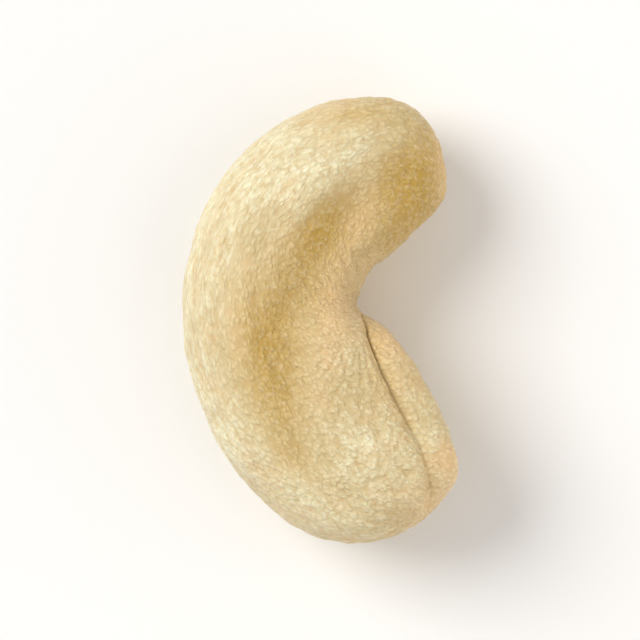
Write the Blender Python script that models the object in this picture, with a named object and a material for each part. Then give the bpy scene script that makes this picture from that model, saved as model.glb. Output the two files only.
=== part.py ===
"""One whole cashew kernel, lying on its flatter face. Blender units are metres, +Z is up.

The kernel is one grown piece. Its two seed leaves meet in a seam that runs round the edge, and the
germ sits at the end of that seam at the broad end. The body is lofted from ribs: each rib joins the
outer edge to the inner edge as seen from above, and carries one closed cross-section. The columns of
the mesh start on the inner seam and cross the outer seam, so both seams are clean lines of edges.
"""

import math

import bmesh
import bpy
import numpy as np

MM = 0.001
NODE = "cashew_kernel"

# The ribs from the narrow end to the broad end, in mm: the outer edge's x and y, the inner edge's x
# and y, the height of the middle line, the rise above it, the drop below it, and the angle in degrees
# of the inner seam above the middle line. At the two tips the edges meet and the thickness is nothing.
RIBS = (
    (7.66, 7.95, 7.66, 7.95, -0.9, 0.0, 0.0, 0),
    (7.08, 11.36, 6.76, 6.40, -0.8, 2.5, 2.4, -4),
    (4.46, 13.54, 4.86, 4.66, -0.6, 4.0, 4.0, -6),
    (-0.22, 13.02, 3.12, 3.20, -0.3, 4.8, 4.9, -4),
    (-5.28, 9.34, 2.36, 1.74, 0.0, 5.3, 5.4, 4),
    (-8.04, 3.15, 2.40, 0.70, 0.1, 5.4, 5.45, 18),
    (-7.66, -3.60, 3.93, -0.80, 0.1, 5.5, 5.45, 42),
    (-4.94, -9.26, 6.42, -4.04, 0.1, 5.4, 5.3, 51),
    (-0.68, -12.88, 7.86, -7.74, 0.1, 4.7, 4.9, 53),
    (3.45, -13.28, 7.46, -10.20, 0.2, 3.0, 3.2, 57),
    (6.20, -12.04, 6.20, -12.04, 0.4, 0.0, 0.0, 57),
)
LAST = len(RIBS) - 1
OUTER_SEAM = 187.0  # degrees round the section, so just below the widest line of the back
SEAM_CROWDING = 0.55  # how much closer together the columns of the mesh lie beside the seams

# The section is an ellipse that is fuller at its four corners (upper inner, upper outer, lower outer
# and lower inner, as shares of the radius) and thinner towards the inner edge.
FULLNESS = (0.13, 0.04, 0.03, 0.06)
INWARD_THINNING = 0.02

# Soft hollows (below zero) and swellings of the faces, in mm and degrees: centre x and y, half
# length, half width, turn of the long side from +Y, height. One list for the upper face and one for
# the lower face.
UPPER_FORMS = (
    (1.0, 5.2, 2.6, 1.6, -36, -0.66),
    (-0.7, 1.6, 3.2, 1.5, -24, -0.62),
    (-1.7, -3.3, 3.6, 1.5, 12, -0.62),
    (-0.5, -7.4, 2.2, 1.5, 24, -0.34),
    (0.2, 9.0, 3.6, 1.7, -48, 0.60),
    (1.2, -0.6, 2.6, 1.2, 4, 0.30),
    (2.5, -1.0, 1.3, 0.7, 20, -0.35),
    (4.0, -9.6, 2.8, 2.2, 26, 0.40),
    (5.6, 9.2, 2.2, 1.3, -16, -0.30),
)
LOWER_FORMS = (
    (-1.6, 4.8, 4.0, 1.4, -22, -0.45),
    (-1.0, -4.4, 3.6, 1.5, 12, -0.45),
    (1.8, 8.8, 1.8, 1.7, 0, 0.14),
    (-5.2, 0.6, 3.0, 1.5, 0, 0.36),
    (2.6, -7.6, 2.0, 1.8, 0, 0.26),
)
FORM_FADE = 0.8  # the power of the section's height by which the forms fade towards the edge

# The seam is a groove all round, deepest along the inner side of the broad lobe.
GROOVE_HALF_WIDTH = 0.34
GROOVE_ALL_ROUND = 0.12
GROOVE_OF_BROAD_LOBE = 0.40
# The upper seed leaf stays plump right up to the seam there, and the lower one stands out past it as
# a rounded lip. Each is its height, its distance above the seam and its half width, in mm.
SHOULDER = (0.15, 0.9, 0.8)
LIP = (0.70, -1.6, 1.15)
LOBE = (5.1, 6.7, 8.3, 9.7)  # the ribs where they begin, are whole, begin to fade and have ended
GERM = (8.1, 0.5, 0.15)  # the rib at which the lip swells over the germ, half length and share

# The skin is uneven by this much over waves of this length, both in mm. The noise behind it reads a
# table of random values at places on a lattice, each a stride apart along x, y and z.
UNEVENNESS = 0.12
UNEVEN_WAVE = 4.6
SEED = 7
NOISE_ORIGIN = 11.3
NOISE_VALUES = 4096
NOISE_STRIDES = (73, 1259, 3571)

RINGS = 66
RING_CROWDING = 0.5  # how much closer together the rings lie towards both tips
COLUMNS = 48
REST_CUT = 0.14  # how far above the lowest point the resting plane lies, in mm
ON_PLANE = 1e-7  # how near that plane a point counts as on it, in metres

CREAM = (0.84, 0.70, 0.41, 1.0)


def closed_spline(knots):
    """The second derivatives of the smooth closed curve through evenly spaced knots."""
    count = len(knots)
    system = 4 * np.eye(count) + np.roll(np.eye(count), 1, 0) + np.roll(np.eye(count), -1, 0)
    change = np.roll(knots, -1, 0) - 2 * knots + np.roll(knots, 1, 0)
    return np.linalg.solve(system, 6 * change)


def along_spline(knots, bends, at):
    """Points on that closed curve, where at counts knots from the first."""
    low = np.floor(at).astype(int)
    b = (at - low)[:, None]
    a = 1 - b
    this, following = low % len(knots), (low + 1) % len(knots)
    bent = (a**3 - a) * bends[this] + (b**3 - b) * bends[following]
    return a * knots[this] + b * knots[following] + bent / 6


def ribs_at(station):
    """Outer edge, inner edge, middle height, rise, drop and inner seam angle at each station.

    The edges are one closed outline: out along the outer side and back along the inner side. Rise
    and drop change sign on the way back, which rounds both tips as the outline does.
    """
    table = np.array(RIBS)
    outer_side = np.column_stack([table[:, 0:2], table[:, 5:7]])
    inner_side = np.column_stack([table[:, 2:4], -table[:, 5:7]])[-2:0:-1]
    knots = np.concatenate([outer_side, inner_side])
    bends = closed_spline(knots)
    out = along_spline(knots, bends, station)
    back = along_spline(knots, bends, len(knots) - station)
    mirrored = np.concatenate([table[:, [4, 7]], table[-2:0:-1, [4, 7]]])
    plain = along_spline(mirrored, closed_spline(mirrored), station)
    seam = np.radians(plain[:, 1])
    return out[:, :2], back[:, :2], plain[:, 0], out[:, 2], out[:, 3], seam


def section_angles(seam, columns):
    """Angles round each section: column 0 is the inner seam, and the middle column the outer seam.

    Columns crowd towards both seams, where the groove is narrow.
    """
    turn = np.arange(columns) / columns
    crowded = turn - SEAM_CROWDING * np.sin(4 * math.pi * turn) / (4 * math.pi)
    outer = math.radians(OUTER_SEAM)
    over = seam[:, None] + (outer - seam[:, None]) * 2 * crowded
    under = outer + (seam[:, None] + 2 * math.pi - outer) * (2 * crowded - 1)
    return np.where(turn < 0.5, over, under)


def plain_body(station, columns):
    """The kernel without its relief, as a grid of points (rings, columns, 3) in mm."""
    outer, inner, middle, rise, drop, seam = ribs_at(station)
    angle = section_angles(seam, columns)
    across, up = np.cos(angle), np.sin(angle)
    corner = (angle // (math.pi / 2)).astype(int) % 4
    full = 1 + np.array(FULLNESS)[corner] * np.sin(2 * angle) ** 2
    centre, half = (outer + inner) / 2, (inner - outer) / 2
    flat = centre[:, None] + half[:, None] * (full * across)[..., None]
    reach = np.where(up > 0, rise[:, None], drop[:, None])
    height = middle[:, None] + reach * full * up * (1 - INWARD_THINNING * across)
    return np.concatenate([flat, height[..., None]], axis=2), angle


def lattice_noise(points, seed):
    """Smooth noise in -1..1: random values on a unit lattice, blended between its corners."""
    table = np.random.default_rng(seed).uniform(-1, 1, NOISE_VALUES)
    low = np.floor(points).astype(np.int64)
    t = points - low
    t = t * t * t * (t * (t * 6 - 15) + 10)
    total = np.zeros(points.shape[:-1])
    for corner in np.ndindex(2, 2, 2):
        cell = low + corner
        key = cell @ np.array(NOISE_STRIDES) % NOISE_VALUES
        weight = np.prod(np.where(corner, t, 1 - t), axis=-1)
        total += weight * table[key]
    return total


def bump(distance, half_width):
    """One rounded rise: 1 at the middle, falling smoothly to nothing."""
    return np.exp(-((distance / half_width) ** 2))


def smooth_step(value, low, high):
    """0 below low, 1 above high, and an even slope without corners between them."""
    t = np.clip((value - low) / (high - low), 0, 1)
    return t * t * (3 - 2 * t)


def face_forms(forms, points):
    """The soft hollows and swellings of one face, as heights in mm."""
    total = np.zeros(points.shape[:-1])
    for x, y, long, wide, turn, height in forms:
        dx, dy = points[..., 0] - x, points[..., 1] - y
        cos, sin = math.cos(math.radians(turn)), math.sin(math.radians(turn))
        along, beside = dy * cos - dx * sin, dx * cos + dy * sin
        total += height * bump(along, long) * bump(beside, wide)
    return total


def seam_distances(points):
    """Distance over the skin from the inner seam (above it positive), and from the outer seam."""
    steps = np.linalg.norm(np.roll(points, -1, 1) - points, axis=2)
    walked = np.concatenate([np.zeros((len(points), 1)), np.cumsum(steps, axis=1)], axis=1)
    whole = walked[:, -1:]
    walked = walked[:, :-1]
    inner = np.where(walked < whole / 2, walked, walked - whole)
    outer = walked - walked[:, [points.shape[1] // 2]]
    return inner, outer


def seam_relief(points, station):
    """The groove all round, and the shoulder, the lip and the germ of the broad lobe, in mm."""
    inner, outer = seam_distances(points)
    station = station[:, None]
    lobe = smooth_step(station, LOBE[0], LOBE[1]) * (1 - smooth_step(station, LOBE[2], LOBE[3]))
    depth = GROOVE_ALL_ROUND + (GROOVE_OF_BROAD_LOBE - GROOVE_ALL_ROUND) * lobe
    groove = depth * bump(inner, GROOVE_HALF_WIDTH)
    groove = np.maximum(groove, GROOVE_ALL_ROUND * bump(outer, GROOVE_HALF_WIDTH))
    shoulder, lip = (height * bump(inner - above, wide) for height, above, wide in (SHOULDER, LIP))
    lip *= 1 + GERM[2] * bump(station - GERM[0], GERM[1])
    return lobe * (shoulder + lip) - groove


def face_relief(points, angle):
    """How much higher each point of the upper face and lower each of the lower face is, in mm."""
    up = np.sin(angle)
    upper = np.clip(up, 0, 1) ** FORM_FADE * face_forms(UPPER_FORMS, points)
    lower = np.clip(-up, 0, 1) ** FORM_FADE * face_forms(LOWER_FORMS, points)
    return upper - lower


def outward(points, tips):
    """Unit normals of the grid, from its slopes round the sections and along the kernel."""
    columns = points.shape[1]
    ends = [np.repeat(tip[None], columns, axis=1) for tip in tips]
    padded = np.concatenate([ends[0], points, ends[1]])
    along = padded[2:] - padded[:-2]
    around = np.roll(points, -1, 1) - np.roll(points, 1, 1)
    normal = np.cross(around, along)
    return normal / np.linalg.norm(normal, axis=2, keepdims=True)


def kernel_grid(rings, columns):
    """The finished skin in mm: the two tips (2, 1, 3) and the rings between them."""
    ends = np.array([RIBS[0], RIBS[-1]])
    tips = np.column_stack([ends[:, 0], ends[:, 1], ends[:, 4]])[:, None]
    even = np.arange(1, rings + 1) / (rings + 1)
    station = LAST * (even - RING_CROWDING * np.sin(2 * math.pi * even) / (2 * math.pi))
    points, angle = plain_body(station, columns)
    points[..., 2] += face_relief(points, angle)
    uneven = UNEVENNESS * lattice_noise(points / UNEVEN_WAVE + NOISE_ORIGIN, SEED)
    proud = seam_relief(points, station) + uneven
    moved = outward(points, tips) * proud[..., None]
    return tips + moved[[0, -1]].mean(axis=1, keepdims=True), points + moved


def loft(tips, points):
    """A mesh with a fan at each tip and quads between the rings."""
    columns = points.shape[1]
    bm = bmesh.new()
    rows = [[bm.verts.new(point * MM) for point in ring] for ring in points]
    first, last = (bm.verts.new(tip * MM) for tip in tips[:, 0])
    for column in range(columns):
        beside = (column + 1) % columns
        bm.faces.new((first, rows[0][beside], rows[0][column]))
        bm.faces.new((last, rows[-1][column], rows[-1][beside]))
        for near, far in zip(rows, rows[1:]):
            bm.faces.new((near[column], near[beside], far[beside], far[column]))
    bmesh.ops.recalc_face_normals(bm, faces=bm.faces)
    return bm


def set_on_flat(bm):
    """Cuts the three low spots that the kernel rests on with one level plane.

    Then it moves the kernel so that this plane is at height 0, with the origin under the middle of
    the bounding box.
    """
    level = min(vertex.co.z for vertex in bm.verts) + REST_CUT * MM
    everything = [*bm.verts, *bm.edges, *bm.faces]
    bmesh.ops.bisect_plane(
        bm, geom=everything, plane_co=(0, 0, level), plane_no=(0, 0, -1), clear_outer=True, dist=ON_PLANE
    )
    rim = [edge for edge in bm.edges if edge.is_boundary]
    bmesh.ops.holes_fill(bm, edges=rim, sides=0)
    places = np.array([vertex.co[:] for vertex in bm.verts])
    low, high = places.min(0), places.max(0)
    shift = (-(low[0] + high[0]) / 2, -(low[1] + high[1]) / 2, -level)
    bmesh.ops.translate(bm, verts=bm.verts, vec=shift)


def cream_flesh():
    """Pale, matt, slightly waxy seed flesh."""
    material = bpy.data.materials.new("cashew_flesh")
    material.use_nodes = True
    shader = material.node_tree.nodes["Principled BSDF"]
    shader.inputs["Base Color"].default_value = CREAM
    shader.inputs["Roughness"].default_value = 0.6
    shader.inputs["Metallic"].default_value = 0.0
    return material


def main():
    for item in list(bpy.data.objects):
        bpy.data.objects.remove(item)
    tips, points = kernel_grid(RINGS, COLUMNS)
    bm = loft(tips, points)
    set_on_flat(bm)
    mesh = bpy.data.meshes.new(NODE)
    bm.to_mesh(mesh)
    bm.free()
    mesh.materials.append(cream_flesh())
    mesh.shade_smooth()
    kernel = bpy.data.objects.new(NODE, mesh)
    bpy.context.scene.collection.objects.link(kernel)


main()
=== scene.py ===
"""A cashew kernel with its fine relief and finish, on a pale sheet under soft light.

The kernel is one skin worked out as a grid: one way along the kernel, from the narrow tip to the broad
one, and the other way round each cross-section. Lengths in the tables are mm, in the kernel's own
plan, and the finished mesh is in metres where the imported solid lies.
"""

import math

import bpy
import numpy as np
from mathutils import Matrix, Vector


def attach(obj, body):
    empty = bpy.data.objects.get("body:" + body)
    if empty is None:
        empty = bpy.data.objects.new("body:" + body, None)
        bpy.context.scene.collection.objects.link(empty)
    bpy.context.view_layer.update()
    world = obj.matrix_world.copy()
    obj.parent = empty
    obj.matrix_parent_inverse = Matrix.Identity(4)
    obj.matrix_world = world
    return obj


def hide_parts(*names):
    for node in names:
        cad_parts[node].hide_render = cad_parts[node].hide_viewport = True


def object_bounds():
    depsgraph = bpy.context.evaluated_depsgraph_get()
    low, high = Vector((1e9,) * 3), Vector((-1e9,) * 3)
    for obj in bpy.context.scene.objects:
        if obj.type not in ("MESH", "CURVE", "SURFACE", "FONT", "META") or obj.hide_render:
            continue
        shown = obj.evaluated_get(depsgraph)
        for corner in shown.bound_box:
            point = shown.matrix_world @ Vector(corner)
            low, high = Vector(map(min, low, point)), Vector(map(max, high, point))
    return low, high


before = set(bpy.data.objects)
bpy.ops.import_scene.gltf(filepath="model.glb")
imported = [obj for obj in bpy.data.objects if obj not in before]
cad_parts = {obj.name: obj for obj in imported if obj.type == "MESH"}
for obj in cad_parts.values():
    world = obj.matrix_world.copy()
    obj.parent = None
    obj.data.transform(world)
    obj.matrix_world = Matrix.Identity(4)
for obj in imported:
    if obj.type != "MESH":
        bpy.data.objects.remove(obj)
CAD_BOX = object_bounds()

bl_info = {
    "name": "Cashew Kernel",
    "version": (1, 0, 0),
    "blender": (4, 5, 0),
    "location": "View3D > Sidebar > Cashew",
    "description": "Makes a cashew kernel in full detail, and a pale studio round it",
    "category": "Add Mesh",
}

MM = 0.001
SOLID = "cashew_kernel"
PIECE = "kernel_skin"
UV_MAP = "OFBake"  # the name of the kernel's UV map

# The ribs from the narrow end to the broad end, as in the solid: the outer edge's x and y, the inner
# edge's x and y, the height of the middle line, the rise above it, the drop below it, and the angle
# in degrees of the inner seam above the middle line.
RIBS = (
    (7.66, 7.95, 7.66, 7.95, -0.9, 0.0, 0.0, 0),
    (7.08, 11.36, 6.76, 6.40, -0.8, 2.5, 2.4, -4),
    (4.46, 13.54, 4.86, 4.66, -0.6, 4.0, 4.0, -6),
    (-0.22, 13.02, 3.12, 3.20, -0.3, 4.8, 4.9, -4),
    (-5.28, 9.34, 2.36, 1.74, 0.0, 5.3, 5.4, 4),
    (-8.04, 3.15, 2.40, 0.70, 0.1, 5.4, 5.45, 18),
    (-7.66, -3.60, 3.93, -0.80, 0.1, 5.5, 5.45, 42),
    (-4.94, -9.26, 6.42, -4.04, 0.1, 5.4, 5.3, 51),
    (-0.68, -12.88, 7.86, -7.74, 0.1, 4.7, 4.9, 53),
    (3.45, -13.28, 7.46, -10.20, 0.2, 3.0, 3.2, 57),
    (6.20, -12.04, 6.20, -12.04, 0.4, 0.0, 0.0, 57),
)
LAST = len(RIBS) - 1
OUTER_SEAM = 187.0  # degrees round the section, so just below the widest line of the back
RING_CROWDING = 0.5  # how much closer together the rings lie towards both tips
SEAM_CROWDING = 0.55  # how much closer together the columns of the grid lie beside the seams
FULLNESS = (0.13, 0.04, 0.03, 0.06)  # upper inner, upper outer, lower outer, lower inner corner
INWARD_THINNING = 0.02  # share by which the section is thinner at the inner edge

# Soft hollows (below zero) and swellings of the two faces: centre x and y, half length, half width,
# turn of the long side from +Y in degrees, height.
UPPER_FORMS = (
    (1.0, 5.2, 2.6, 1.6, -36, -0.66),
    (-0.7, 1.6, 3.2, 1.5, -24, -0.62),
    (-1.7, -3.3, 3.6, 1.5, 12, -0.62),
    (-0.5, -7.4, 2.2, 1.5, 24, -0.34),
    (0.2, 9.0, 3.6, 1.7, -48, 0.60),
    (1.2, -0.6, 2.6, 1.2, 4, 0.30),
    (2.5, -1.0, 1.3, 0.7, 20, -0.35),
    (4.0, -9.6, 2.8, 2.2, 26, 0.40),
    (5.6, 9.2, 2.2, 1.3, -16, -0.30),
)
LOWER_FORMS = (
    (-1.6, 4.8, 4.0, 1.4, -22, -0.45),
    (-1.0, -4.4, 3.6, 1.5, 12, -0.45),
    (1.8, 8.8, 1.8, 1.7, 0, 0.14),
    (-5.2, 0.6, 3.0, 1.5, 0, 0.36),
    (2.6, -7.6, 2.0, 1.8, 0, 0.26),
)
FORM_FADE = 0.8  # the power of the section's height by which the forms fade towards the edge

# The seam: a soft groove all round, which leaves room for the open line in it, and the shoulder and
# the lip of the broad lobe beside it, each as height, distance above the seam and half width. Places
# along the kernel are counted in ribs from the narrow tip.
GROOVE_HALF_WIDTH = 0.34
GROOVE_ALL_ROUND = 0.10
GROOVE_OF_BROAD_LOBE = 0.26
GROOVE_FLATTENS = (7.2, 8.7)  # where the broad lobe's groove begins to get shallower and has done so
SHOULDER = (0.15, 0.9, 0.8)
LIP = (0.70, -1.6, 1.15)
LOBE = (5.1, 6.7, 8.3, 9.7)  # the ribs where they begin, are whole, begin to fade and have ended
GERM = (8.1, 0.5, 0.15)  # the rib at which the lip swells over the germ, half length and share

# The crack is the seam's open line: where it begins and is whole, where it begins to close and has
# closed, and by what share. Elsewhere it is faint, and noise makes it a little plainer in places.
CRACK_OPENS = (4.9, 5.6)
CRACK_CLOSES = (5.7, 8.0)
CRACK_CLOSED_SHARE = 0.85
FAINT_CRACK = 0.20
FAINT_CRACK_MORE = 0.14
FAINT_CRACK_STEP = (-0.4, 0.5)

# The skin is uneven by this much over waves of this length. The noise behind it and behind the fine
# relief reads a table of random values at places on a lattice, each a stride apart along x, y and z.
UNEVENNESS = 0.12
UNEVEN_WAVE = 4.6
UNEVEN_SEED = 7
NOISE_ORIGIN = 11.3
NOISE_VALUES = 4096
NOISE_STRIDES = (73, 1259, 3571)

# The noises of the fine relief: width across the fibres, length along them, and seed.
CRACK_NOISE = (6.0, 3.4, 21)
FOLD_NOISE = (1.6, 1.6, 31)
DENTS = (1.7, 2.6, 41)
LONG_WRINKLES = (0.9, 6.0, 42)
SHORT_WRINKLES = (0.6, 3.4, 43)
WRINKLED_PLACES = (2.6, 4.2, 44)
GRAIN = (0.44, 0.64, 45)
FINER_GRAIN = (0.26, 0.36, 46)

LONG_WRINKLE_WIDTH = 0.13  # how near to nought the noise is on a wrinkle
SHORT_WRINKLE_WIDTH = 0.12
WRINKLED_STEP = (-0.5, 0.5)
LEAST_WRINKLED = 0.3  # the share of their depth that wrinkles keep where the skin is smoothest
FINER_GRAIN_SHARE = 0.4

REST_CUT = 0.14  # how far above the lowest point the resting plane lies

# The notch, in the bend of the inner side: its centre, the reach of its folds, and how many folds
# there are in a full turn round it.
NOTCH = (2.3, -0.2)
FOLD_REACH = 4.2
FOLD_START = (0.8, 2.4)  # how far from its centre they begin and are whole
FOLDS_ROUND = 38
FOLD_WANDER = 2.4  # how far noise shifts the wave, in radians

# Where the flesh is stained, flushed or rubbed pale, partly as painted light and shade: the ochre
# also paints the shade of the trough and of the narrow end's right-facing slope, the rose paints
# highlights and reflected light on the lip, the ridges and the rims, and the pale paints light on the
# lit left rim, the top and the lower end. Each is centre x and y, half length, half width, turn,
# strength.
OCHRE_STAINS_AND_SHADE = (
    (0.2, 5.6, 2.2, 1.3, -34, 0.95),
    (-1.2, 2.6, 3.0, 1.7, -24, 0.45),
    (-3.4, -0.4, 2.8, 2.0, 0, 0.48),
    (-2.7, -4.0, 3.6, 1.7, 6, 0.68),
    (-1.4, -8.2, 2.2, 1.5, 24, 0.34),
    (5.0, 8.4, 3.2, 1.7, -10, 0.82),
    (2.6, 12.4, 3.0, 1.1, -76, 0.60),
    (6.4, 8.4, 3.0, 1.2, -4, 0.50),
    (5.0, 5.2, 2.4, 1.4, -46, 0.45),
)
ROSE_FLUSHES_AND_LIGHT = (
    (2.6, 6.2, 2.6, 0.9, -38, 0.60),
    (1.0, 0.4, 2.8, 1.1, -6, 0.75),
    (7.3, 9.6, 2.4, 0.7, 8, 0.80),
    (7.4, -8.8, 1.6, 1.0, 26, 0.80),
    (6.6, -11.2, 1.6, 1.0, 40, 0.60),
    (3.7, -1.5, 1.9, 0.7, 34, 0.75),
    (1.0, 12.4, 2.6, 0.9, -80, 0.35),
)
PALE_RUBS_AND_LIGHT = (
    (-4.0, 8.6, 5.2, 2.6, -42, 1.00),
    (-7.4, 0.4, 6.4, 2.1, 0, 1.00),
    (-5.4, -6.8, 4.2, 1.9, 24, 0.95),
    (0.4, -10.2, 4.6, 3.0, 78, 1.00),
    (3.2, -7.4, 3.6, 2.2, 28, 0.70),
    (6.0, -5.6, 3.2, 0.8, 27, 0.25),
    (0.6, 11.0, 3.2, 2.2, -70, 0.45),
    (7.3, -8.4, 2.2, 1.2, 20, 0.80),
    (1.5, -1.8, 2.0, 1.2, 10, 0.40),
    (3.8, -1.7, 1.9, 0.8, 34, 0.10),
    (2.4, 10.8, 3.6, 1.8, -66, 0.85),
    (-1.4, 6.9, 2.6, 1.3, -38, 0.60),
    (5.4, -6.6, 2.6, 1.2, 28, 0.40),
)

# The rest of the marks: the sine of the section's angle at which those of the upper face begin and
# are whole, the painted shade in the bay under the notch, warm there, the painted light on the end
# of the lip, and the ochre beside the seam.
UPPER_MARKS = (-0.1, 0.45)
BAY_REACH = 2.6
BAY_SHADE = 0.5
BAY_WARM_SHADE = 0.4
LIP_END_LIGHT_BELOW = (0.3, 0.9)  # how far below the seam it begins and is whole
LIP_END_LIGHT_ALONG = (7.6, 8.6)
# Ochre laid on beside the seam, strongest at the notch.
SEAM_DARKENING = 0.25
SEAM_DARKENING_WIDTH = 0.5
SEAM_DARKENING_AT_NOTCH = (5.9, 0.5, 0.35)  # rib, half length and strength
FULL_HOLLOW = 0.12  # the fine relief that counts as a whole hollow or rise

# The finish's noises: waves to the mm, across the fibres and along them where two are given, then
# detail and roughness.
BROAD_MOTTLE = (0.36, 0.26, 3.0, 0.6)
STREAKS = (2.0, 1.0, 3.0, 0.6)
BLUSH = (0.7, 0.5, 2.0, 0.5)
SPECKLE = (3.2, 2.0, 0.6)
FLECKED_PLACES = (0.7, 1.0, 0.5)
FINE_PEBBLES = (7.0, 4.5, 2.0, 0.5)

# The finish's cells, so many to the mm, and the noise that sways them out of their rows: its waves to
# the mm and its reach, and one detail for both.
PEBBLES = (3.6, 2.6)
PEBBLE_SWAY = (2.4, 0.35)
FLECKS = 0.7
FLECK_SWAY = (9.0, 0.5)
SWAY_DETAIL = 2.0

# The finish's smooth steps: the values between which each runs, and what it is at both where that
# isn't 0 and 1.
MOTTLE_STEP = (0.36, 0.68)
STREAK_STEP = (0.42, 0.66)
BLUSH_STEP = (0.45, 0.70, 0.0, 0.20)
SPECKLE_STEP = (0.36, 0.55, 0.35, 1.0)
FLECKED_STEP = (0.60, 0.66)
FLECK_STEP = (0.11, 0.05, 0.0, 0.4)
# Painted shade: buff in the fine hollows.
HOLLOW_SHADE_STEP = (0.5, -0.9, 0.0, 0.42)
# Painted shade: buff multiplied into the gaps between the pebbles.
PEBBLE_GAP_SHADE_STEP = (0.0, 1.0, 0.29, 0.0)
CRACK_STEP = (0.0, 0.9, 0.0, 0.8)
PEBBLE_STEP = (0.8, 0.1)
ROUGH_STEP = (0.1, 0.9)

# How much each of them counts, the height of the pebbles in metres, and how much rougher the flesh is
# between them and smoother on top of them.
MOTTLE_SHARE = 0.15
STREAK_SHARE = 0.15
# The flush's share, partly painted highlight and reflected light.
FLUSH_AND_LIGHT_SHARE = 0.75
FINE_PEBBLE_SHARE = 0.9
PEBBLE_BUMP = 0.00007
ROUGHER_BETWEEN = 0.08
SMOOTHER_ON_TOP = 0.06

# The sheet: its points round the rim, how far it lies under the kernel in metres, its tooth as a noise
# with waves to the metre, and the strength and height of that.
SHEET_POINTS = 128
SHEET_GAP = 0.00002
SHEET_TOOTH = (900.0, 2.0, 0.5)
TOOTH_BUMP = (0.15, 0.00005)

# The sky's colour, its strength at the horizon, and the sines of the heights between which that fades.
SKY_COLOUR = (0.96, 0.965, 1.0)
HORIZON_STRENGTH = 0.95
HORIZON = (0.04, 0.12)

# The two lights: colour, and degrees about X and Y from straight down. The key comes from the upper
# left as the camera sees it, and the fill from the lower right.
KEY_COLOUR = (1.0, 0.985, 0.95)
KEY_TURN = (-20, -42)
FILL_COLOUR = (1.0, 0.86, 0.64)
FILL_TURN = (18, 58)
FILL_SOFTNESS = math.radians(90)


class KernelShape(bpy.types.PropertyGroup):
    """Sizes of the fine relief."""

    rings: bpy.props.IntProperty(
        name="Rings", description="Cross-sections along the kernel", default=360, min=20
    )
    columns: bpy.props.IntProperty(
        name="Columns", description="Points round each cross-section, an even number", default=276,
        min=16,
    )
    crack_width: bpy.props.FloatProperty(
        name="Crack Width", description="Width of the seam's open line", default=0.00018, unit="LENGTH"
    )
    crack_depth: bpy.props.FloatProperty(
        name="Crack Depth", description="Depth of the seam's open line", default=0.00026, unit="LENGTH"
    )
    dent_depth: bpy.props.FloatProperty(
        name="Dent Depth", description="Depth of the shallow dents", default=0.00008, unit="LENGTH"
    )
    wrinkle_depth: bpy.props.FloatProperty(
        name="Wrinkle Depth", description="Depth of the long fine wrinkles", default=0.00005,
        unit="LENGTH",
    )
    fold_depth: bpy.props.FloatProperty(
        name="Fold Depth", description="Depth of the folds at the notch", default=0.00008, unit="LENGTH"
    )
    grain_depth: bpy.props.FloatProperty(
        name="Grain Depth", description="Depth of the short-fibred grain", default=0.00006,
        unit="LENGTH",
    )


def colour_property(name, description, default):
    """One colour that a user can change."""
    return bpy.props.FloatVectorProperty(
        name=name, description=description, default=default, subtype="COLOR", size=3, min=0, max=1
    )


class KernelFinish(bpy.types.PropertyGroup):
    """Colours and surface of the flesh."""

    # Pale also paints light where the lit left rim, the top and the lower end are lightened.
    pale: colour_property("Pale", "The dry, rubbed flesh", (0.93, 0.90, 0.65))
    cream: colour_property("Cream", "The clean flesh", (0.75, 0.605, 0.335))
    # Buff also paints shade in the fine hollows and between the pebbles.
    buff: colour_property("Buff", "The darker mottling of the flesh", (0.62, 0.46, 0.21))
    # Ochre also paints shade in the trough, on the narrow end and in the bay under the notch.
    ochre: colour_property("Ochre", "The oily stains", (0.60, 0.40, 0.09))
    # Rose also paints highlights and reflected light on the lip end, the ridges and the rims.
    rose: colour_property("Rose", "The flushed edges", (0.92, 0.65, 0.35))
    seam: colour_property("Seam", "The line of the seam", (0.36, 0.24, 0.09))
    fleck: colour_property("Fleck", "The scraps of skin left on the flesh", (0.30, 0.15, 0.06))
    roughness: bpy.props.FloatProperty(
        name="Roughness", description="Of the clean flesh", default=0.56, min=0, max=1, subtype="FACTOR"
    )
    glow: bpy.props.FloatProperty(
        name="Glow", description="Share of the light that passes through the flesh",
        default=0.14, min=0, max=1, subtype="FACTOR",
    )
    glow_depth: bpy.props.FloatProperty(
        name="Glow Depth", description="How far the light goes", default=0.0008, unit="LENGTH"
    )
    powder: bpy.props.FloatProperty(
        name="Powder", description="Strength of the dusty bloom", default=0.10, min=0, max=1,
        subtype="FACTOR",
    )


class Stage(bpy.types.PropertyGroup):
    """The sheet, the lights and the camera."""

    sheet_colour: colour_property("Sheet", "The pale sheet under the kernel", (0.93, 0.93, 0.935))
    sheet_radius: bpy.props.FloatProperty(
        name="Sheet Radius", description="Radius of the round sheet", default=2.5, unit="LENGTH"
    )
    key_strength: bpy.props.FloatProperty(
        name="Key Strength", description="Power of the main light", default=2.04, min=0
    )
    fill_strength: bpy.props.FloatProperty(
        name="Fill Strength", description="Power of the warm light opposite", default=1.0, min=0
    )
    key_softness: bpy.props.FloatProperty(
        name="Key Softness", description="Width of the main light as seen from the kernel",
        default=math.radians(38), subtype="ANGLE",
    )
    sky_strength: bpy.props.FloatProperty(
        name="Sky Strength", description="Power of the light from all round", default=0.50, min=0
    )
    camera_height: bpy.props.FloatProperty(
        name="Camera Height", description="Height of the camera above the sheet", default=0.7,
        unit="LENGTH",
    )
    view_size: bpy.props.FloatProperty(
        name="View Size", description="Side of the square that the camera sees", default=0.0384,
        unit="LENGTH",
    )


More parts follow.
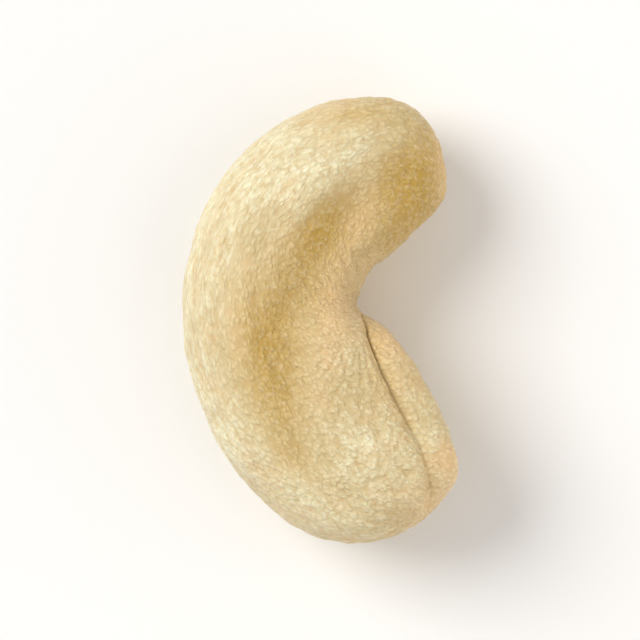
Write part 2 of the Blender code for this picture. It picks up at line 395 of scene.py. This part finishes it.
def closed_spline(knots):
    """The second derivatives of the smooth closed curve through evenly spaced knots.

    Four times each, plus its two neighbours, is six times the change of slope at its knot.
    """
    count = len(knots)
    system = 4 * np.eye(count) + np.roll(np.eye(count), 1, 0) + np.roll(np.eye(count), -1, 0)
    change = np.roll(knots, -1, 0) - 2 * knots + np.roll(knots, 1, 0)
    return np.linalg.solve(system, 6 * change)


def along_spline(knots, bends, at):
    """Points on that curve: between two knots, a straight mix plus the cubic share of their bends."""
    low = np.floor(at).astype(int)
    b = (at - low)[:, None]
    a = 1 - b
    this, following = low % len(knots), (low + 1) % len(knots)
    bent = (a**3 - a) * bends[this] + (b**3 - b) * bends[following]
    return a * knots[this] + b * knots[following] + bent / 6


def ribs_at(station):
    """Outer edge, inner edge, middle height, rise, drop and inner seam angle at each station.

    The edges are one closed curve: out along the outer side and back along the inner side. Rise and
    drop change sign on the way back, which rounds both tips as the outline does.
    """
    table = np.array(RIBS)
    outer_side = np.column_stack([table[:, 0:2], table[:, 5:7]])
    inner_side = np.column_stack([table[:, 2:4], -table[:, 5:7]])[-2:0:-1]
    knots = np.concatenate([outer_side, inner_side])
    bends = closed_spline(knots)
    out = along_spline(knots, bends, station)
    back = along_spline(knots, bends, len(knots) - station)
    mirrored = np.concatenate([table[:, [4, 7]], table[-2:0:-1, [4, 7]]])
    plain = along_spline(mirrored, closed_spline(mirrored), station)
    seam = np.radians(plain[:, 1])
    return out[:, :2], back[:, :2], plain[:, 0], out[:, 2], out[:, 3], seam


def section_angles(seam, columns):
    """Angles round each section: even steps, slowed by a sine beside both seams.

    Column 0 is the inner seam, and the middle column the outer seam.
    """
    turn = np.arange(columns) / columns
    crowded = turn - SEAM_CROWDING * np.sin(4 * math.pi * turn) / (4 * math.pi)
    outer = math.radians(OUTER_SEAM)
    over = seam[:, None] + (outer - seam[:, None]) * 2 * crowded
    under = outer + (seam[:, None] + 2 * math.pi - outer) * (2 * crowded - 1)
    return np.where(turn < 0.5, over, under)


def plain_body(station, columns):
    """The kernel without relief, the same kernel straightened, and the angle of each point.

    A section is an ellipse: the middle of the rib, plus half the rib times the cosine of the angle,
    and the rise or the drop times its sine, both a little fuller at the corners and the second a
    little less towards the inner edge. Straightened, the sections keep their size and lie one behind
    the other, as far apart as along the middle line.
    """
    outer, inner, middle, rise, drop, seam = ribs_at(station)
    angle = section_angles(seam, columns)
    across, up = np.cos(angle), np.sin(angle)
    corner = (angle // (math.pi / 2)).astype(int) % 4
    full = 1 + np.array(FULLNESS)[corner] * np.sin(2 * angle) ** 2
    centre, half = (outer + inner) / 2, (inner - outer) / 2
    flat = centre[:, None] + half[:, None] * (full * across)[..., None]
    reach = np.where(up > 0, rise[:, None], drop[:, None]) * full * up
    height = middle[:, None] + reach * (1 - INWARD_THINNING * across)
    width = np.linalg.norm(half, axis=1)[:, None] * full * across
    walked = np.concatenate([[0], np.cumsum(np.linalg.norm(np.diff(centre, axis=0), axis=1))])
    length = np.broadcast_to(walked[:, None], width.shape)
    bent = np.concatenate([flat, height[..., None]], axis=2)
    return bent, np.stack([width, reach, length], axis=2), angle


def lattice_noise(points, seed):
    """Smooth noise in -1..1: random values on a unit lattice, blended between its corners."""
    table = np.random.default_rng(seed).uniform(-1, 1, NOISE_VALUES)
    low = np.floor(points).astype(np.int64)
    t = points - low
    t = t * t * t * (t * (t * 6 - 15) + 10)
    total = np.zeros(points.shape[:-1])
    for corner in np.ndindex(2, 2, 2):
        cell = low + corner
        key = cell @ np.array(NOISE_STRIDES) % NOISE_VALUES
        weight = np.prod(np.where(corner, t, 1 - t), axis=-1)
        total += weight * table[key]
    return total


def fibre_noise(straight, width, length, seed):
    """Noise on the straightened kernel, this wide across the fibres and this long along them."""
    return lattice_noise(straight / (width, width, length) + NOISE_ORIGIN, seed)


def bump(distance, half_width):
    """One rounded rise: e to the power of minus the squared distance in half widths."""
    return np.exp(-((distance / half_width) ** 2))


def smooth_step(value, low, high):
    """0 below low, 1 above high, and between them 3 squares less 2 cubes of the share of the way."""
    t = np.clip((value - low) / (high - low), 0, 1)
    return t * t * (3 - 2 * t)


def patches(table, points):
    """The sum of soft oval patches: each is its strength times a rise along it and one across it."""
    total = np.zeros(points.shape[:-1])
    for x, y, long, wide, turn, strength in table:
        dx, dy = points[..., 0] - x, points[..., 1] - y
        cos, sin = math.cos(math.radians(turn)), math.sin(math.radians(turn))
        along, beside = dy * cos - dx * sin, dx * cos + dy * sin
        total += strength * bump(along, long) * bump(beside, wide)
    return total


def seam_distances(points):
    """Distance over the skin from the inner seam (above it positive), and from the outer seam."""
    steps = np.linalg.norm(np.roll(points, -1, 1) - points, axis=2)
    walked = np.concatenate([np.zeros((len(points), 1)), np.cumsum(steps, axis=1)], axis=1)
    whole = walked[:, -1:]
    walked = walked[:, :-1]
    inner = np.where(walked < whole / 2, walked, walked - whole)
    outer = walked - walked[:, [points.shape[1] // 2]]
    return inner, outer


def lobe_share(station):
    """How much a station belongs to the broad lobe, whose seam shows most."""
    begun = smooth_step(station, *LOBE[:2])
    return begun * (1 - smooth_step(station, *LOBE[2:]))


def seam_relief(inner, outer, station):
    """The soft groove all round, and the shoulder, the lip and the germ of the broad lobe.

    Each is a rounded rise over the distance from the seam. The groove is deepest along the broad lobe,
    and gets shallower again towards the broad tip.
    """
    lobe = lobe_share(station)
    deeper = lobe * (1 - smooth_step(station, *GROOVE_FLATTENS))
    depth = GROOVE_ALL_ROUND + (GROOVE_OF_BROAD_LOBE - GROOVE_ALL_ROUND) * deeper
    groove = depth * bump(inner, GROOVE_HALF_WIDTH)
    groove = np.maximum(groove, GROOVE_ALL_ROUND * bump(outer, GROOVE_HALF_WIDTH))
    shoulder, lip = (height * bump(inner - above, wide) for height, above, wide in (SHOULDER, LIP))
    germ, half_length, share = GERM
    lip *= 1 + share * bump(station - germ, half_length)
    return lobe * (shoulder + lip) - groove


def face_relief(points, angle):
    """How much higher each point of the upper face and lower each of the lower face is."""
    up = np.sin(angle)
    upper = np.clip(up, 0, 1) ** FORM_FADE * patches(UPPER_FORMS, points)
    lower = np.clip(-up, 0, 1) ** FORM_FADE * patches(LOWER_FORMS, points)
    return upper - lower


def outward(points, tips):
    """Unit normals of the grid, from its slopes round the sections and along the kernel."""
    columns = points.shape[1]
    ends = [np.repeat(tip[None], columns, axis=1) for tip in tips]
    padded = np.concatenate([ends[0], points, ends[1]])
    along = padded[2:] - padded[:-2]
    around = np.roll(points, -1, 1) - np.roll(points, 1, 1)
    normal = np.cross(around, along)
    return normal / np.linalg.norm(normal, axis=2, keepdims=True)


def crack_share(inner, outer, station, straight, half_width):
    """Where the seam is an open line, 0..1.

    The line is a narrow rise on each seam. Along the broad lobe it is whole at the notch and closes
    towards the germ. Elsewhere it is faint, and noise along the seam makes it fainter here and there.
    """
    plainer = smooth_step(fibre_noise(straight, *CRACK_NOISE), *FAINT_CRACK_STEP)
    faint = FAINT_CRACK + FAINT_CRACK_MORE * plainer
    closed = CRACK_CLOSED_SHARE * smooth_step(station, *CRACK_CLOSES)
    strength = np.maximum(smooth_step(station, *CRACK_OPENS) * (1 - closed), faint)
    return np.maximum(strength * bump(inner, half_width), faint * bump(outer, half_width))


def notch_distance(points):
    """How far each point is from the notch, along x, along y and in all, seen from above."""
    dx, dy = points[..., 0] - NOTCH[0], points[..., 1] - NOTCH[1]
    return dx, dy, np.hypot(dx, dy)


def notch_folds(points, angle, straight):
    """Fine folds that fan out from the notch.

    They are a sine of the angle round it, shifted by noise, which begins a little way out, fades with
    distance, and is weaker towards the edge of the section.
    """
    dx, dy, away = notch_distance(points)
    wander = FOLD_WANDER * fibre_noise(straight, *FOLD_NOISE)
    wave = np.sin(FOLDS_ROUND * np.arctan2(dy, dx) + wander)
    near = smooth_step(away, *FOLD_START) * bump(away, FOLD_REACH)
    return wave * near * np.abs(np.sin(angle))


def fine_relief(shape, straight):
    """Dents, long wrinkles and short-fibred grain, in mm.

    Dents are broad noise. Wrinkles are thin lines where a stretched noise crosses nought, deeper in
    some places than in others. Grain is two noises, one nearly twice as fine as the other.
    """
    dents = fibre_noise(straight, *DENTS)
    wrinkles = bump(fibre_noise(straight, *LONG_WRINKLES), LONG_WRINKLE_WIDTH)
    wrinkles += bump(fibre_noise(straight, *SHORT_WRINKLES), SHORT_WRINKLE_WIDTH)
    patchy = smooth_step(fibre_noise(straight, *WRINKLED_PLACES), *WRINKLED_STEP)
    wrinkled = LEAST_WRINKLED + (1 - LEAST_WRINKLED) * patchy
    grain = fibre_noise(straight, *GRAIN) + FINER_GRAIN_SHARE * fibre_noise(straight, *FINER_GRAIN)
    total = shape.dent_depth * dents - shape.wrinkle_depth * wrinkles * wrinkled
    return (total + shape.grain_depth * grain) / MM


def kernel_grid(shape):
    """The finished skin in mm, as two tips and the rings between them, with its marks.

    Each point is the plain body, raised along Z by the faces' forms, and then moved outwards by the
    seam's relief, the unevenness and the fine relief.
    """
    ends = np.array([RIBS[0], RIBS[-1]])
    tips = np.column_stack([ends[:, 0], ends[:, 1], ends[:, 4]])[:, None]
    even = np.arange(1, shape.rings + 1) / (shape.rings + 1)
    rib = LAST * (even - RING_CROWDING * np.sin(2 * math.pi * even) / (2 * math.pi))
    points, straight, angle = plain_body(rib, shape.columns)
    points[..., 2] += face_relief(points, angle)
    station = rib[:, None]
    inner, outer = seam_distances(points)
    uneven = UNEVENNESS * lattice_noise(points / UNEVEN_WAVE + NOISE_ORIGIN, UNEVEN_SEED)
    crack = crack_share(inner, outer, station, straight, shape.crack_width / MM / 2)
    folds = notch_folds(points, angle, straight)
    fine = fine_relief(shape, straight) + shape.fold_depth / MM * folds
    proud = seam_relief(inner, outer, station) + uneven - shape.crack_depth / MM * crack + fine
    marks = kernel_marks(points, angle, inner, station, crack, fine)
    marks["grain_space"] = straight
    moved = outward(points, tips) * proud[..., None]
    return tips + moved[[0, -1]].mean(axis=1, keepdims=True), points + moved, marks


def kernel_marks(points, angle, inner, station, crack, fine):
    """What the finish reads at each point: 0..1, and for hollow -1 in a hollow to 1 on a rise."""
    up = smooth_step(np.sin(angle), *UPPER_MARKS)
    bay = bump(notch_distance(points)[2], BAY_REACH) * (1 - up)
    lobe = lobe_share(station)
    lip_end_light = lobe * smooth_step(-inner, *LIP_END_LIGHT_BELOW) * smooth_step(station, *LIP_END_LIGHT_ALONG)
    notch, half_length, strength = SEAM_DARKENING_AT_NOTCH
    at_notch = strength * bump(station - notch, half_length)
    beside_seam = (SEAM_DARKENING * lobe + at_notch) * bump(inner, SEAM_DARKENING_WIDTH)
    # Painted shade as well as stain: the trough, the narrow end and the bay under the notch.
    stain_and_shade = patches(OCHRE_STAINS_AND_SHADE, points) * up + BAY_SHADE * bay + beside_seam
    # Painted light as well as flush: highlights on the lip end and rims, warm light in the shaded bay.
    flush_and_painted_light = patches(ROSE_FLUSHES_AND_LIGHT, points) * np.maximum(up, lip_end_light) + BAY_WARM_SHADE * bay
    return {
        "stain_and_shade": np.clip(stain_and_shade, 0, 1),
        "flush_and_painted_light": np.clip(flush_and_painted_light, 0, 1),
        # The pale patches paint light on the lit left rim, the top and the lower end, as well as dry
        # flesh.
        "rub_and_painted_light": np.clip(patches(PALE_RUBS_AND_LIGHT, points), 0, 1),
        "crack": crack,
        "hollow": np.clip(fine / FULL_HOLLOW, -1, 1),
    }


def set_down(tips, points):
    """Moves the skin so that its three low spots are flat at height 0, with the box's middle over 0."""
    level = points[..., 2].min() + REST_CUT
    low, high = points.min((0, 1)), points.max((0, 1))
    shift = np.array([-(low[0] + high[0]) / 2, -(low[1] + high[1]) / 2, -level])
    points = points + shift
    points[..., 2] = np.maximum(points[..., 2], 0)
    return tips + shift, points


def grid_faces(rings, columns):
    """Quads between the rings and a fan of triangles at each tip, as point numbers, facing out."""
    number = np.arange(rings * columns).reshape(rings, columns)
    beside = np.roll(number, -1, 1)
    quads = np.stack([number[:-1], beside[:-1], beside[1:], number[1:]], axis=2).reshape(-1, 4)
    first, last = rings * columns, rings * columns + 1
    opening = np.column_stack([np.full(columns, first), beside[0], number[0]])
    closing = np.column_stack([np.full(columns, last), number[-1], beside[-1]])
    return quads, np.concatenate([opening, closing])


def grid_map(rings, columns):
    """The UV map of those faces: round the section along U, and from tip to tip along V."""
    left = np.arange(columns) / columns
    middle, right = left + 0.5 / columns, left + 1 / columns
    v = np.arange(1, rings + 1) / (rings + 1)
    near, far = v[:-1, None], v[1:, None]
    corners = [(left, near), (right, near), (right, far), (left, far)]
    quads = np.stack([np.stack(np.broadcast_arrays(*corner), axis=2) for corner in corners], axis=2)
    fans = []
    for tip, edge, sides in ((0.0, v[0], (right, left)), (1.0, v[-1], (left, right))):
        pole = np.column_stack([middle, np.full(columns, tip)])
        rim = [np.column_stack([side, np.full(columns, edge)]) for side in sides]
        fans.append(np.stack([pole, *rim], axis=1).reshape(-1, 2))
    return np.concatenate([quads.reshape(-1, 2), *fans])


def fill_mesh(mesh, tips, points, marks):
    """Puts the grid, its UV map and its marks into the mesh."""
    rings, columns = points.shape[:2]
    quads, fans = grid_faces(rings, columns)
    places = np.concatenate([points.reshape(-1, 3), tips[:, 0]]) * MM
    mesh.from_pydata(places, [], [*quads.tolist(), *fans.tolist()])
    mesh.uv_layers.new(name=UV_MAP).data.foreach_set("uv", grid_map(rings, columns).ravel())
    for name, values in marks.items():
        vector = values.ndim == 3
        ends = values[[0, -1]].mean(axis=1)
        rows = np.concatenate([values.reshape(rings * columns, -1), ends.reshape(2, -1)])
        kind, field = ("FLOAT_VECTOR", "vector") if vector else ("FLOAT", "value")
        mesh.attributes.new(name, kind, "POINT").data.foreach_set(field, rows.ravel())
    mesh.shade_smooth()
    mesh.update()


class Graph:
    """The nodes of a material or a sky, added one after another."""

    def __init__(self, owner, shader="Principled BSDF"):
        owner.use_nodes = True
        self.tree = owner.node_tree
        self.shader = self.tree.nodes[shader]

    def give(self, socket, value):
        """Links a socket to another node's output, or sets it to a value."""
        if isinstance(value, bpy.types.NodeSocket):
            self.tree.links.new(value, socket)
        else:
            socket.default_value = value

    def set_shader(self, inputs):
        """Links or sets the shader's own sockets."""
        for name, value in inputs.items():
            self.give(self.shader.inputs[name], value)

    def add(self, kind, inputs, output=0, **settings):
        """One node with its inputs by name or number, and the output that others read."""
        node = self.tree.nodes.new(kind)
        for name, value in settings.items():
            setattr(node, name, value)
        for name, value in inputs.items():
            self.give(node.inputs[name], value)
        return node.outputs[output]

    def mark(self, name, output="Fac"):
        """An attribute of the mesh."""
        return self.add("ShaderNodeAttribute", {}, output, attribute_name=name)

    def stretched(self, place, across, along):
        """The straightened place, scaled across the fibres and along them."""
        return self.add("ShaderNodeMapping", {"Vector": place, "Scale": (across, across, along)})

    def noise(self, place, scale, detail, roughness):
        """Noise in 0..1, with this many waves to each unit of the place."""
        inputs = {"Vector": place, "Scale": scale, "Detail": detail, "Roughness": roughness}
        return self.add("ShaderNodeTexNoise", inputs, "Fac")

    def fibre_noise(self, place, across, along, detail, roughness):
        """Noise in 0..1, with so many waves across the fibres and so many along them."""
        return self.noise(self.stretched(place, across, along), 1.0, detail, roughness)

    def cells(self, place, scale=1.0):
        """The distance to the middle of the nearest cell, so many cells to each unit of the place."""
        return self.add("ShaderNodeTexVoronoi", {"Vector": place, "Scale": scale}, "Distance")

    def sway(self, place, scale, reach):
        """The place moved by a noise of three values, times this reach."""
        inputs = {"Vector": place, "Scale": scale, "Detail": SWAY_DETAIL}
        noise = self.add("ShaderNodeTexNoise", inputs, "Color")
        inputs = {0: noise, 1: (reach, reach, reach), 2: place}
        return self.add("ShaderNodeVectorMath", inputs, operation="MULTIPLY_ADD")

    def step(self, value, low, high, start=0.0, end=1.0):
        """A smooth step of a value, from start at low to end at high."""
        inputs = {"Value": value, "From Min": low, "From Max": high, "To Min": start, "To Max": end}
        return self.add("ShaderNodeMapRange", inputs, interpolation_type="SMOOTHSTEP")

    def plus(self, first, second):
        """Two values added."""
        return self.add("ShaderNodeMath", {0: first, 1: second}, operation="ADD")

    def times(self, first, second):
        """Two values multiplied."""
        return self.add("ShaderNodeMath", {0: first, 1: second}, operation="MULTIPLY")

    def bumps(self, height, strength, distance):
        """The surface's direction where this height bends it."""
        inputs = {"Strength": strength, "Distance": distance, "Height": height}
        return self.add("ShaderNodeBump", inputs)

    def blend(self, share, first, second, way="MIX"):
        """Two colours mixed by a share."""
        node = self.tree.nodes.new("ShaderNodeMix")
        node.data_type, node.blend_type = "RGBA", way
        inputs = (("Factor", "VALUE", share), ("A", "RGBA", first), ("B", "RGBA", second))
        for name, kind, value in inputs:
            (socket,) = [s for s in node.inputs if s.name == name and s.type == kind and s.enabled]
            self.give(socket, value)
        return next(s for s in node.outputs if s.type == "RGBA" and s.enabled)


def flesh_colour(graph, finish, place, pebbles):
    """The colour of the flesh, laid on in turn.

    Cream flesh is rubbed pale, partly as painted light on the lit side, mottled with buff, and darker
    in its fine hollows as painted shade. It is flushed, partly as painted highlight and reflected
    light, stained, partly as painted shade, darkened between its pebbles as painted shade, flecked,
    and marked along its seam. Speckle breaks up the pale places and the stains.
    """
    names = ("pale", "cream", "buff", "ochre", "rose", "seam", "fleck")
    pale, cream, buff, ochre, rose, seam, fleck = ((*getattr(finish, name), 1.0) for name in names)
    speckle = graph.step(graph.noise(place, *SPECKLE), *SPECKLE_STEP)
    colour = graph.blend(graph.times(graph.mark("rub_and_painted_light"), speckle), cream, pale)
    broad = graph.step(graph.fibre_noise(place, *BROAD_MOTTLE), *MOTTLE_STEP)
    streaks = graph.step(graph.fibre_noise(place, *STREAKS), *STREAK_STEP)
    mottle_and_shade = graph.plus(graph.times(broad, MOTTLE_SHARE), graph.times(streaks, STREAK_SHARE))
    # Painted shade: buff in the fine hollows.
    mottle_and_shade = graph.plus(mottle_and_shade, graph.step(graph.mark("hollow"), *HOLLOW_SHADE_STEP))
    colour = graph.blend(mottle_and_shade, colour, buff)
    blush = graph.step(graph.fibre_noise(place, *BLUSH), *BLUSH_STEP)
    flush_and_painted_light = graph.plus(graph.times(graph.mark("flush_and_painted_light"), FLUSH_AND_LIGHT_SHARE), blush)
    colour = graph.blend(flush_and_painted_light, colour, rose)
    colour = graph.blend(graph.times(graph.mark("stain_and_shade"), speckle), colour, ochre)
    # Painted shade between the pebbles.
    colour = graph.blend(graph.step(pebbles, *PEBBLE_GAP_SHADE_STEP), colour, buff, "MULTIPLY")
    specks = graph.step(graph.cells(graph.sway(place, *FLECK_SWAY), FLECKS), *FLECK_STEP)
    flecked = graph.step(graph.noise(place, *FLECKED_PLACES), *FLECKED_STEP)
    colour = graph.blend(graph.times(specks, flecked), colour, fleck)
    return graph.blend(graph.step(graph.mark("crack"), *CRACK_STEP), colour, seam)


def flesh_material(finish):
    """Waxy, faintly powdery seed flesh.

    Light passes a little way in, and a grain of pebbles, with a finer one on it, breaks the gloss.
    """
    material = bpy.data.materials.new("cashew_flesh_fine")
    graph = Graph(material)
    place = graph.mark("grain_space", "Vector")
    swayed = graph.stretched(graph.sway(place, *PEBBLE_SWAY), *PEBBLES)
    pebbles = graph.step(graph.cells(swayed), *PEBBLE_STEP)
    fine = graph.fibre_noise(place, *FINE_PEBBLES)
    height = graph.plus(pebbles, graph.times(fine, FINE_PEBBLE_SHARE))
    between, on_top = finish.roughness + ROUGHER_BETWEEN, finish.roughness - SMOOTHER_ON_TOP
    graph.set_shader({
        "Base Color": flesh_colour(graph, finish, place, pebbles),
        "Roughness": graph.step(pebbles, *ROUGH_STEP, between, on_top),
        "Normal": graph.bumps(height, 1.0, PEBBLE_BUMP),
        "Specular IOR Level": 0.42,
        "Subsurface Weight": finish.glow,
        "Subsurface Radius": (1.0, 0.55, 0.25),
        "Subsurface Scale": finish.glow_depth,
        "Sheen Weight": finish.powder,
        "Sheen Roughness": 0.5,
    })
    return material


class AddKernel(bpy.types.Operator):
    """Makes the kernel's fine skin in place of its plain solid"""

    bl_idname = "cashew.add_kernel"
    bl_label = "Cashew Kernel"

    def execute(self, context):
        scene = context.scene
        tips, points, marks = kernel_grid(scene.cashew_shape)
        tips, points = set_down(tips, points)
        mesh = bpy.data.meshes.new(PIECE)
        fill_mesh(mesh, tips, points, marks)
        mesh.materials.append(flesh_material(scene.cashew_finish))
        skin = bpy.data.objects.new(PIECE, mesh)
        scene.collection.objects.link(skin)
        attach(skin, "root")
        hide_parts(SOLID)
        return {"FINISHED"}


def sheet_mesh(radius):
    """A flat round sheet just under the kernel: the points of a circle, as one face."""
    turn = np.linspace(0, 2 * math.pi, SHEET_POINTS, endpoint=False)
    height = np.full(SHEET_POINTS, -SHEET_GAP)
    rim = np.column_stack([radius * np.cos(turn), radius * np.sin(turn), height])
    mesh = bpy.data.meshes.new("sheet")
    mesh.from_pydata(rim, [], [list(range(SHEET_POINTS))])
    return mesh


def sheet_material(colour):
    """Matt white card with a very faint tooth."""
    material = bpy.data.materials.new("sheet_card")
    graph = Graph(material)
    tooth = graph.noise(graph.add("ShaderNodeTexCoord", {}, "Object"), *SHEET_TOOTH)
    graph.set_shader({
        "Base Color": (*colour, 1.0),
        "Roughness": 0.85,
        "Specular IOR Level": 0.2,
        "Normal": graph.bumps(tooth, *TOOTH_BUMP),
    })
    return material


def pale_sky(scene, strength):
    """Light from all round, a touch cool, and brighter at the horizon."""
    scene.world = bpy.data.worlds.new("pale_sky")
    graph = Graph(scene.world, "Background")
    place = graph.add("ShaderNodeTexCoord", {}, "Generated")
    height = graph.add("ShaderNodeSeparateXYZ", {0: place}, "Z")
    steep = graph.add("ShaderNodeMath", {0: height}, operation="ABSOLUTE")
    low, high = HORIZON
    ends = {"From Min": low, "From Max": high, "To Min": HORIZON_STRENGTH, "To Max": strength}
    fade = graph.add("ShaderNodeMapRange", {"Value": steep, **ends})
    graph.set_shader({"Color": (*SKY_COLOUR, 1.0), "Strength": fade})


def broad_light(scene, name, strength, softness, colour, turn):
    """One far, broad light, turned in degrees about X and Y from straight down."""
    lamp = bpy.data.lights.new(name, "SUN")
    lamp.energy = strength
    lamp.angle = softness
    lamp.color = colour
    light = bpy.data.objects.new(name, lamp)
    light.rotation_euler = (math.radians(turn[0]), math.radians(turn[1]), 0)
    scene.collection.objects.link(light)


def camera_above(scene, stage):
    """A camera that looks straight down on the middle of the solid's box, with a long lens."""
    low, high = CAD_BOX
    data = bpy.data.cameras.new("camera")
    data.lens = data.sensor_width * (stage.camera_height - high[2]) / stage.view_size
    camera = bpy.data.objects.new("camera", data)
    camera.location = ((low[0] + high[0]) / 2, (low[1] + high[1]) / 2, stage.camera_height)
    scene.collection.objects.link(camera)
    scene.camera = camera


class AddStage(bpy.types.Operator):
    """Makes the pale sheet, the lights and the camera"""

    bl_idname = "cashew.add_stage"
    bl_label = "Stage"

    def execute(self, context):
        scene = context.scene
        stage = scene.cashew_stage
        sheet = bpy.data.objects.new("sheet", sheet_mesh(stage.sheet_radius))
        sheet.data.materials.append(sheet_material(stage.sheet_colour))
        scene.collection.objects.link(sheet)
        pale_sky(scene, stage.sky_strength)
        broad_light(scene, "key", stage.key_strength, stage.key_softness, KEY_COLOUR, KEY_TURN)
        broad_light(scene, "fill", stage.fill_strength, FILL_SOFTNESS, FILL_COLOUR, FILL_TURN)
        camera_above(scene, stage)
        scene.view_settings.view_transform = "Standard"
        return {"FINISHED"}


class CashewPanel(bpy.types.Panel):
    """Settings and buttons of the kernel"""

    bl_idname = "VIEW3D_PT_cashew"
    bl_label = "Cashew Kernel"
    bl_space_type = "VIEW_3D"
    bl_region_type = "UI"
    bl_category = "Cashew"

    def draw(self, context):
        for group, operators in PANEL_ROWS:
            box = self.layout.box()
            settings = getattr(context.scene, group)
            for name in settings.__annotations__:
                box.prop(settings, name)
            for operator in operators:
                box.operator(operator)


# The boxes of the panel: the settings that each shows, and the buttons under them.
PANEL_ROWS = (
    ("cashew_shape", ()),
    ("cashew_finish", ("cashew.add_kernel",)),
    ("cashew_stage", ("cashew.add_stage",)),
)
GROUPS = {"cashew_shape": KernelShape, "cashew_finish": KernelFinish, "cashew_stage": Stage}
CLASSES = (*GROUPS.values(), AddKernel, AddStage, CashewPanel)


def register():
    for item in CLASSES:
        bpy.utils.register_class(item)
    for name, group in GROUPS.items():
        setattr(bpy.types.Scene, name, bpy.props.PointerProperty(type=group))


def unregister():
    for name in GROUPS:
        delattr(bpy.types.Scene, name)
    for item in reversed(CLASSES):
        bpy.utils.unregister_class(item)


def main():
    """Registers the add-on's classes, and makes the kernel and the stage."""
    register()
    bpy.ops.cashew.add_kernel()
    bpy.ops.cashew.add_stage()


if __name__ == "__main__":
    main()
